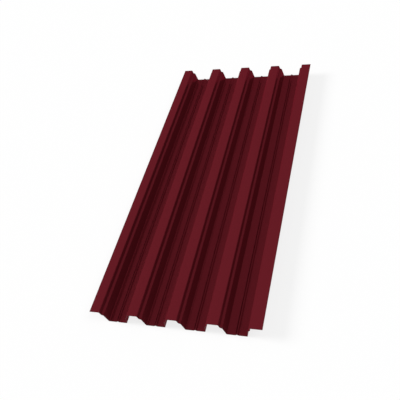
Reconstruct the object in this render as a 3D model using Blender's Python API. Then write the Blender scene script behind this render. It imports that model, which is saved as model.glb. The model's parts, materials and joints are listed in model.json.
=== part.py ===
# Roll-formed trapezoidal steel sheet, one piece of coated strip bent into four waves.
# The section lies in the XZ plane and runs along Y; the trough flanges rest on z = 0.

import math

import bmesh
import bpy
from mathutils import Matrix, Vector

# Whole sheet
LENGTH = 1.750
THICKNESS = 0.0008
HEIGHT = 0.075  # over both faces of the strip
WAVES = 4

# Section, between the sharp corners of the strip's middle line
PITCH = 0.1875
CREST_WIDTH = 0.050
TROUGH_WIDTH = 0.092
LEFT_LAP_WIDTH = 0.0475
RIGHT_LAP_WIDTH = 0.0525

# Stiffening step in each web: how far it lies below the crest, and its own run and fall
STEP_DEPTH = 0.020
STEP_RUN = 0.010
STEP_FALL = 0.005

# Stiffening rib along the middle of each trough flange
RIB_BASE_WIDTH = 0.015
RIB_TOP_WIDTH = 0.0035
RIB_HEIGHT = 0.005

# Bends, as radii of the strip's middle line
CORNER_RADIUS = 0.004
STEP_RADIUS = 0.003
RIB_RADIUS = 0.0025
BEND_SEGMENTS = 8
SHARP_ANGLE = math.radians(30)  # the cut edges are sharper than this, and the bends' facets are not

# Coating
COAT_COLOUR = (0.1170, 0.0130, 0.0190, 1.0)
COAT_ROUGHNESS = 0.45

MIDDLE_HEIGHT = HEIGHT - THICKNESS
WEB_RUN = (PITCH - CREST_WIDTH - TROUGH_WIDTH) / 2
WEB_LEAN = (WEB_RUN - STEP_RUN) / (MIDDLE_HEIGHT - STEP_FALL)


def clear_scene():
    for obj in list(bpy.data.objects):
        bpy.data.objects.remove(obj)


def web_corners(crest_x, side):
    """The corners of one web, from the crest down to the trough on the given side (+1 right, -1 left)."""
    step_x = STEP_DEPTH * WEB_LEAN
    outline = (
        (0.0, MIDDLE_HEIGHT, CORNER_RADIUS),
        (step_x, MIDDLE_HEIGHT - STEP_DEPTH, STEP_RADIUS),
        (step_x + STEP_RUN, MIDDLE_HEIGHT - STEP_DEPTH - STEP_FALL, STEP_RADIUS),
        (WEB_RUN, 0.0, CORNER_RADIUS),
    )
    return [(crest_x + side * x, z, radius) for x, z, radius in outline]


def rib_corners(middle_x):
    """The corners of the raised rib in the middle of a trough flange, from left to right."""
    base = RIB_BASE_WIDTH / 2
    top = RIB_TOP_WIDTH / 2
    outline = ((-base, 0.0), (-top, RIB_HEIGHT), (top, RIB_HEIGHT), (base, 0.0))
    return [(middle_x + x, z, RIB_RADIUS) for x, z in outline]


def section_corners():
    """(x, z, bend radius) of each corner of the strip's middle line, from the left edge to the right."""
    corners = [(-LEFT_LAP_WIDTH, MIDDLE_HEIGHT, 0.0)]
    for wave in range(WAVES):
        crest_end = wave * PITCH
        next_crest = (wave + 1) * PITCH - CREST_WIDTH
        corners += web_corners(crest_end, 1)
        corners += rib_corners((crest_end + next_crest) / 2)
        corners += reversed(web_corners(next_crest, -1))
    last_crest = WAVES * PITCH - CREST_WIDTH
    corners.append((last_crest + RIGHT_LAP_WIDTH, MIDDLE_HEIGHT, 0.0))
    return corners


def bend(before, corner, after, radius):
    """The points of the arc that rounds a corner and runs smoothly into the flats on both sides of it."""
    back = (before - corner).normalized()
    ahead = (after - corner).normalized()
    half_turn = (math.pi - back.angle(ahead)) / 2
    reach = radius * math.tan(half_turn)
    centre = corner + (back + ahead).normalized() * (radius / math.cos(half_turn))
    start = corner + back * reach - centre
    clockwise_turn = start.angle_signed(corner + ahead * reach - centre)
    points = []
    for index in range(BEND_SEGMENTS + 1):
        swing = Matrix.Rotation(-clockwise_turn * index / BEND_SEGMENTS, 2)
        points.append(centre + swing @ start)
    return points


def middle_line():
    """The strip's middle line with its bends, as (x, z) vectors centred across the sheet."""
    corners = section_corners()
    shift = Vector(((corners[0][0] + corners[-1][0]) / 2, -THICKNESS / 2))
    sharp = [Vector((x, z)) - shift for x, z, _ in corners]
    line = [sharp[0]]
    for index in range(1, len(sharp) - 1):
        line += bend(sharp[index - 1], sharp[index], sharp[index + 1], corners[index][2])
    line.append(sharp[-1])
    return line


def coated_steel():
    material = bpy.data.materials.new("red_coated_steel")
    material.use_nodes = True
    shader = material.node_tree.nodes["Principled BSDF"]
    shader.inputs["Base Color"].default_value = COAT_COLOUR
    shader.inputs["Roughness"].default_value = COAT_ROUGHNESS
    shader.inputs["Metallic"].default_value = 0.0
    return material


def profiled_sheet():
    """The middle line drawn out along Y as a skin, then thickened equally to both sides."""
    skin = bmesh.new()
    near = [skin.verts.new((point.x, -LENGTH / 2, point.y)) for point in middle_line()]
    edges = [skin.edges.new(pair) for pair in zip(near, near[1:])]
    drawn = bmesh.ops.extrude_edge_only(skin, edges=edges)["geom"]
    far = [item for item in drawn if isinstance(item, bmesh.types.BMVert)]
    bmesh.ops.translate(skin, verts=far, vec=(0.0, LENGTH, 0.0))
    bmesh.ops.recalc_face_normals(skin, faces=skin.faces)
    mesh = bpy.data.meshes.new("profiled_sheet")
    skin.to_mesh(mesh)
    skin.free()
    mesh.materials.append(coated_steel())
    sheet = bpy.data.objects.new("profiled_sheet", mesh)
    bpy.context.scene.collection.objects.link(sheet)
    strip = sheet.modifiers.new("strip thickness", "SOLIDIFY")
    strip.thickness = THICKNESS
    strip.offset = 0.0
    strip.use_even_offset = True
    bpy.context.view_layer.objects.active = sheet
    bpy.ops.object.modifier_apply(modifier=strip.name)
    sheet.data.shade_smooth()
    sheet.data.set_sharp_from_angle(angle=SHARP_ANGLE)


clear_scene()
profiled_sheet()
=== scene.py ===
# The finished look of a wine-red profiled steel sheet, lying flat on a white studio floor.

import json
import math

import bpy
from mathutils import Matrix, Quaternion, Vector

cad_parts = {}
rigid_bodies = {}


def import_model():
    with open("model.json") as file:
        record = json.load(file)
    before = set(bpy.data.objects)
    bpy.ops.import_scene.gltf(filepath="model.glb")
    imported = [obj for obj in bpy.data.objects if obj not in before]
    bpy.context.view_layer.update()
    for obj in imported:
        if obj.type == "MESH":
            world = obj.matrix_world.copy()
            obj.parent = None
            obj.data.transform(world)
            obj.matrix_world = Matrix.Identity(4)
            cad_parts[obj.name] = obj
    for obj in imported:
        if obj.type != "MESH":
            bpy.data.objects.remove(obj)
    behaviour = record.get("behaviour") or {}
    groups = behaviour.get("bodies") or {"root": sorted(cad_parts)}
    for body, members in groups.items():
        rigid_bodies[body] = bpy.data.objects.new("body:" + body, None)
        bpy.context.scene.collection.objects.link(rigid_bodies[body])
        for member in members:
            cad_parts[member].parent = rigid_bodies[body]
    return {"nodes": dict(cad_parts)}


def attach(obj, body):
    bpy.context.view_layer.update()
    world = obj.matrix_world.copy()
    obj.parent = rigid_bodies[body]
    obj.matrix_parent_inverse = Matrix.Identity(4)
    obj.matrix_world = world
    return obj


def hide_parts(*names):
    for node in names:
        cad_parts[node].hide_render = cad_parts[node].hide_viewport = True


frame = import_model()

NODE = "profiled_sheet"

# Camera, in metres and degrees
CAMERA_PLACE = (0.8839, -1.8688, 2.0966)
CAMERA_AIM = (-0.0687, -0.1385, 0.0)
CAMERA_ROLL = -20.2
CAMERA_LENS = 49.47
SENSOR_WIDTH = 36.0

# Mesh of the sheet, in metres
MERGE_DISTANCE = 1e-6
FLAT_ANGLE = math.radians(1)
ANY_SHAPE = math.pi
SMOOTH_ANGLE = math.radians(15)  # more than the facets of a bend turn, less than those of a cut edge
CUT_EDGE_NORMAL = 0.999
ROLLOVER = 0.00008
ROLLOVER_SEGMENTS = 2

# Places of the finishes in the sheet's list of materials
TOP_COAT = 0
BACKING_COAT = 1
CUT_EDGE = 2

# Red coat: linear colours, with thin and full paint and the darker specks of its grain
COAT_THIN = (0.1358, 0.0122, 0.0189, 1.0)
COAT_FULL = (0.1410, 0.0127, 0.0198, 1.0)
COAT_SPECK = (0.0975, 0.0088, 0.0136, 1.0)
SPECK_SHARE = 0.6
COAT_LUSTRE = 0.29
COAT_CLEAR_GLOSS = 0.0  # all its gloss comes from the lustre, which is as red as the paint
GRAZING_TINT = (0.92, 0.46, 0.50, 1.0)
TOP_ROUGHNESS = 0.10
BACKING_ROUGHNESS = 0.28
SMOOTHER = 0.02
ROUGHER = 0.03

# Relief of the coat, in metres
CANNING_DEPTH = 0.00060
ROLL_LINE_DEPTH = 0.000020
TOP_PEEL_DEPTH = 0.000045
BACKING_PEEL_DEPTH = 0.000050

# Cut edge: paint drawn down over it, and the dull zinc and steel that show between
EDGE_DRAWN = (0.070, 0.010, 0.015, 1.0)
EDGE_BARE = (0.110, 0.075, 0.076, 1.0)
BARE_SHARE = 0.6
EDGE_LUSTRE = 0.5
DRAWN_ROUGHNESS = 0.6
BARE_ROUGHNESS = 0.4
EDGE_RELIEF_DEPTH = 0.00003

# Patterns of noise: waves per metre along X, Y and Z, finer layers of waves, and strength of those layers
CLOUDS = ((2.2, 1.1, 2.2), 2.0, 0.5)
GRAIN = ((900.0, 900.0, 900.0), 3.0, 0.6)
CANNING = ((5.0, 2.0, 5.0), 1.0, 0.5)
ROLL_LINES = ((520.0, 1.2, 520.0), 2.0, 0.5)
ORANGE_PEEL = ((600.0, 600.0, 600.0), 1.0, 0.5)
SHEAR_MARKS = ((900.0, 900.0, 900.0), 3.0, 0.7)
NOISE_LOW = 0.3  # most of a noise's values lie between these two
NOISE_HIGH = 0.7

# Light, as shares of what makes a colour render as it is written, with heights and spreads in degrees
SKY_SHARE = 0.268
LEFT_SHARE = 0.862
LEFT_HEIGHT = 35.0
LEFT_SPREAD = 24.0
RIGHT_SHARE = 0.290
RIGHT_HEIGHT = 55.0
RIGHT_SPREAD = 34.0

# Floor, in metres
FLOOR_SIZE = 60.0
FLOOR_DROP = 0.0003
FLOOR_COLOUR = (0.98, 0.98, 0.98, 1.0)
FLOOR_WHITE_SHARE = 0.80

# Sockets of a Mix node set to colours, which shares their names with others
MIX_SHARE = 0
MIX_FIRST = 6
MIX_SECOND = 7
MIX_RESULT = 2


def deselect_all():
    for obj in bpy.context.view_layer.objects:
        obj.select_set(False)


def make_active(obj):
    deselect_all()
    obj.select_set(True)
    bpy.context.view_layer.objects.active = obj


def new_material(name):
    """A node material with its Principled shader: (material, tree, shader)."""
    material = bpy.data.materials.new(name)
    material.use_nodes = True
    tree = material.node_tree
    return material, tree, tree.nodes["Principled BSDF"]


def add_node(tree, kind, **values):
    node = tree.nodes.new(kind)
    for name, value in values.items():
        setattr(node, name, value)
    return node


def noise(tree, pattern):
    """The values of a pattern of noise, at their place on the sheet."""
    waves, layers, layer_strength = pattern
    place = add_node(tree, "ShaderNodeTexCoord")
    mapping = add_node(tree, "ShaderNodeMapping")
    mapping.inputs["Scale"].default_value = waves
    texture = add_node(tree, "ShaderNodeTexNoise")
    texture.inputs["Scale"].default_value = 1.0
    texture.inputs["Detail"].default_value = layers
    texture.inputs["Roughness"].default_value = layer_strength
    tree.links.new(place.outputs["Object"], mapping.inputs["Vector"])
    tree.links.new(mapping.outputs["Vector"], texture.inputs["Vector"])
    return texture.outputs["Fac"]


def spread(tree, value, low, high):
    """A noise's values spread over the range from low to high."""
    change = add_node(tree, "ShaderNodeMapRange")
    change.inputs["From Min"].default_value = NOISE_LOW
    change.inputs["From Max"].default_value = NOISE_HIGH
    change.inputs["To Min"].default_value = low
    change.inputs["To Max"].default_value = high
    tree.links.new(value, change.inputs["Value"])
    return change.outputs["Result"]


def between(tree, share, first, second):
    """A colour between two, each a tuple or a socket, by a share from 0 to 1."""
    mix = add_node(tree, "ShaderNodeMix", data_type="RGBA")
    tree.links.new(share, mix.inputs[MIX_SHARE])
    for socket, colour in ((mix.inputs[MIX_FIRST], first), (mix.inputs[MIX_SECOND], second)):
        if isinstance(colour, tuple):
            socket.default_value = colour
        else:
            tree.links.new(colour, socket)
    return mix.outputs[MIX_RESULT]


def bump(tree, height, depth, below=None):
    """A bump of the given depth in metres, laid over an earlier bump."""
    relief = add_node(tree, "ShaderNodeBump")
    relief.inputs["Distance"].default_value = depth
    tree.links.new(height, relief.inputs["Height"])
    if below is not None:
        tree.links.new(below, relief.inputs["Normal"])
    return relief.outputs["Normal"]


def red_coat(name, roughness, peel_depth):
    """Wine-red coat with a slight metallic lustre, orange peel and the faint lines of the rolls."""
    material, tree, shader = new_material(name)
    grain = noise(tree, GRAIN)
    paint = between(tree, spread(tree, noise(tree, CLOUDS), 0.0, 1.0), COAT_THIN, COAT_FULL)
    colour = between(tree, spread(tree, grain, 0.0, SPECK_SHARE), paint, COAT_SPECK)
    gloss = spread(tree, grain, roughness - SMOOTHER, roughness + ROUGHER)
    canning = bump(tree, noise(tree, CANNING), CANNING_DEPTH)
    roll_lines = bump(tree, noise(tree, ROLL_LINES), ROLL_LINE_DEPTH, canning)
    peel = bump(tree, noise(tree, ORANGE_PEEL), peel_depth, roll_lines)
    tree.links.new(colour, shader.inputs["Base Color"])
    tree.links.new(gloss, shader.inputs["Roughness"])
    tree.links.new(peel, shader.inputs["Normal"])
    shader.inputs["Metallic"].default_value = COAT_LUSTRE
    shader.inputs["Specular IOR Level"].default_value = COAT_CLEAR_GLOSS
    shader.inputs["Specular Tint"].default_value = GRAZING_TINT
    return material


def cut_steel():
    """The sheared edge: the coat drawn down over it, with dull zinc and steel showing in specks."""
    material, tree, shader = new_material("sheared_steel_edge")
    marks = noise(tree, SHEAR_MARKS)
    colour = between(tree, spread(tree, marks, 0.0, BARE_SHARE), EDGE_DRAWN, EDGE_BARE)
    tree.links.new(colour, shader.inputs["Base Color"])
    tree.links.new(spread(tree, marks, DRAWN_ROUGHNESS, BARE_ROUGHNESS), shader.inputs["Roughness"])
    tree.links.new(bump(tree, marks, EDGE_RELIEF_DEPTH), shader.inputs["Normal"])
    shader.inputs["Metallic"].default_value = EDGE_LUSTRE
    return material


def finishes():
    """The sheet's materials, in the order of their places."""
    return (
        red_coat("red_top_coat", TOP_ROUGHNESS, TOP_PEEL_DEPTH),
        red_coat("red_backing_coat", BACKING_ROUGHNESS, BACKING_PEEL_DEPTH),
        cut_steel(),
    )


def finish_of(face):
    """The coat of a face that looks up or down, or the sheared edge where it stands upright."""
    if max(abs(face.normal.x), abs(face.normal.y)) > CUT_EDGE_NORMAL:
        return CUT_EDGE
    return BACKING_COAT if face.normal.z < 0 else TOP_COAT


def whole_skin():
    """The frame's sheet as a new object, with its loose triangles joined into one skin of flat faces."""
    sheet = bpy.data.objects.new("coated_sheet", frame["nodes"][NODE].data.copy())
    bpy.context.scene.collection.objects.link(sheet)
    make_active(sheet)
    bpy.ops.object.mode_set(mode="EDIT")
    bpy.ops.mesh.select_mode(type="FACE")
    bpy.ops.mesh.select_all(action="SELECT")
    bpy.ops.mesh.remove_doubles(threshold=MERGE_DISTANCE)
    bpy.ops.mesh.tris_convert_to_quads(face_threshold=FLAT_ANGLE, shape_threshold=ANY_SHAPE)
    bpy.ops.mesh.select_all(action="DESELECT")
    bpy.ops.object.mode_set(mode="OBJECT")
    return sheet


def dressed_sheet():
    """The sheet coated above and below, with cut edges that the shears rolled over."""
    sheet = whole_skin()
    mesh = sheet.data
    mesh.materials.clear()
    for finish in finishes():
        mesh.materials.append(finish)
    for face in mesh.polygons:
        face.material_index = finish_of(face)
        face.select = face.material_index == CUT_EDGE
    bpy.ops.object.mode_set(mode="EDIT")
    bpy.ops.mesh.region_to_loop()
    bpy.ops.mesh.bevel(offset=ROLLOVER, segments=ROLLOVER_SEGMENTS)
    bpy.ops.object.mode_set(mode="OBJECT")
    bpy.ops.object.shade_smooth_by_angle(angle=SMOOTH_ANGLE)
    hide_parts(NODE)
    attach(sheet, "root")


def seen_directly(tree):
    """1 for what the camera sees, in a reflection too, and 0 for what only lights the object."""
    path = add_node(tree, "ShaderNodeLightPath")
    rays = path.outputs["Is Camera Ray"]
    for other in ("Is Glossy Ray", "Is Transmission Ray"):
        either = add_node(tree, "ShaderNodeMath", operation="MAXIMUM")
        tree.links.new(rays, either.inputs[0])
        tree.links.new(path.outputs[other], either.inputs[1])
        rays = either.outputs[0]
    return rays


def floor():
    """A white floor that keeps the soft shadow of the sheet."""
    deselect_all()
    bpy.ops.mesh.primitive_plane_add(size=FLOOR_SIZE, location=(0.0, 0.0, -FLOOR_DROP))
    plane = bpy.context.active_object
    plane.name = "studio_floor"
    material, tree, shader = new_material("white_floor")
    shader.inputs["Base Color"].default_value = FLOOR_COLOUR
    shader.inputs["Roughness"].default_value = 1.0
    shader.inputs["Specular IOR Level"].default_value = 0.0
    white = add_node(tree, "ShaderNodeEmission")
    share = add_node(tree, "ShaderNodeMath", operation="MULTIPLY")
    share.inputs[1].default_value = FLOOR_WHITE_SHARE
    mix = add_node(tree, "ShaderNodeMixShader")
    tree.links.new(seen_directly(tree), share.inputs[0])
    tree.links.new(share.outputs[0], mix.inputs[0])
    tree.links.new(shader.outputs[0], mix.inputs[1])
    tree.links.new(white.outputs[0], mix.inputs[2])
    tree.links.new(mix.outputs[0], tree.nodes["Material Output"].inputs["Surface"])
    plane.data.materials.append(material)


def sky():
    """An even white surround: dimmer as a light than as what the camera sees."""
    world = bpy.data.worlds.new("studio")
    bpy.context.scene.world = world
    world.use_nodes = True
    tree = world.node_tree
    background = tree.nodes["Background"]
    background.inputs["Color"].default_value = (1.0, 1.0, 1.0, 1.0)
    strength = add_node(tree, "ShaderNodeMapRange")
    strength.inputs["To Min"].default_value = SKY_SHARE
    strength.inputs["To Max"].default_value = 1.0
    tree.links.new(seen_directly(tree), strength.inputs["Value"])
    tree.links.new(strength.outputs["Result"], background.inputs["Strength"])


def softbox(name, side, share, height, spread_angle):
    """A wide soft light from the left (-1) or the right (+1), which adds its share to what faces it."""
    angle = math.radians(height)
    lamp = bpy.data.lights.new(name, "SUN")
    lamp.energy = share * math.pi
    lamp.angle = math.radians(spread_angle)
    light = bpy.data.objects.new(name, lamp)
    light.visible_glossy = False
    light.rotation_mode = "QUATERNION"
    towards_lamp = Vector((side * math.cos(angle), 0.0, math.sin(angle)))
    light.rotation_quaternion = towards_lamp.to_track_quat("Z", "Y")
    bpy.context.scene.collection.objects.link(light)


def camera():
    data = bpy.data.cameras.new("camera")
    data.lens = CAMERA_LENS
    data.sensor_width = SENSOR_WIDTH
    view = bpy.data.objects.new("camera", data)
    view.location = CAMERA_PLACE
    view.rotation_mode = "QUATERNION"
    ahead = (Vector(CAMERA_AIM) - Vector(CAMERA_PLACE)).to_track_quat("-Z", "Y")
    view.rotation_quaternion = ahead @ Quaternion((0.0, 0.0, 1.0), math.radians(CAMERA_ROLL))
    bpy.context.scene.collection.objects.link(view)
    bpy.context.scene.camera = view


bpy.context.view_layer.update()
camera()
dressed_sheet()
floor()
sky()
softbox("left_softbox", -1, LEFT_SHARE, LEFT_HEIGHT, LEFT_SPREAD)
softbox("right_softbox", 1, RIGHT_SHARE, RIGHT_HEIGHT, RIGHT_SPREAD)
bpy.context.scene.view_settings.view_transform = "Standard"
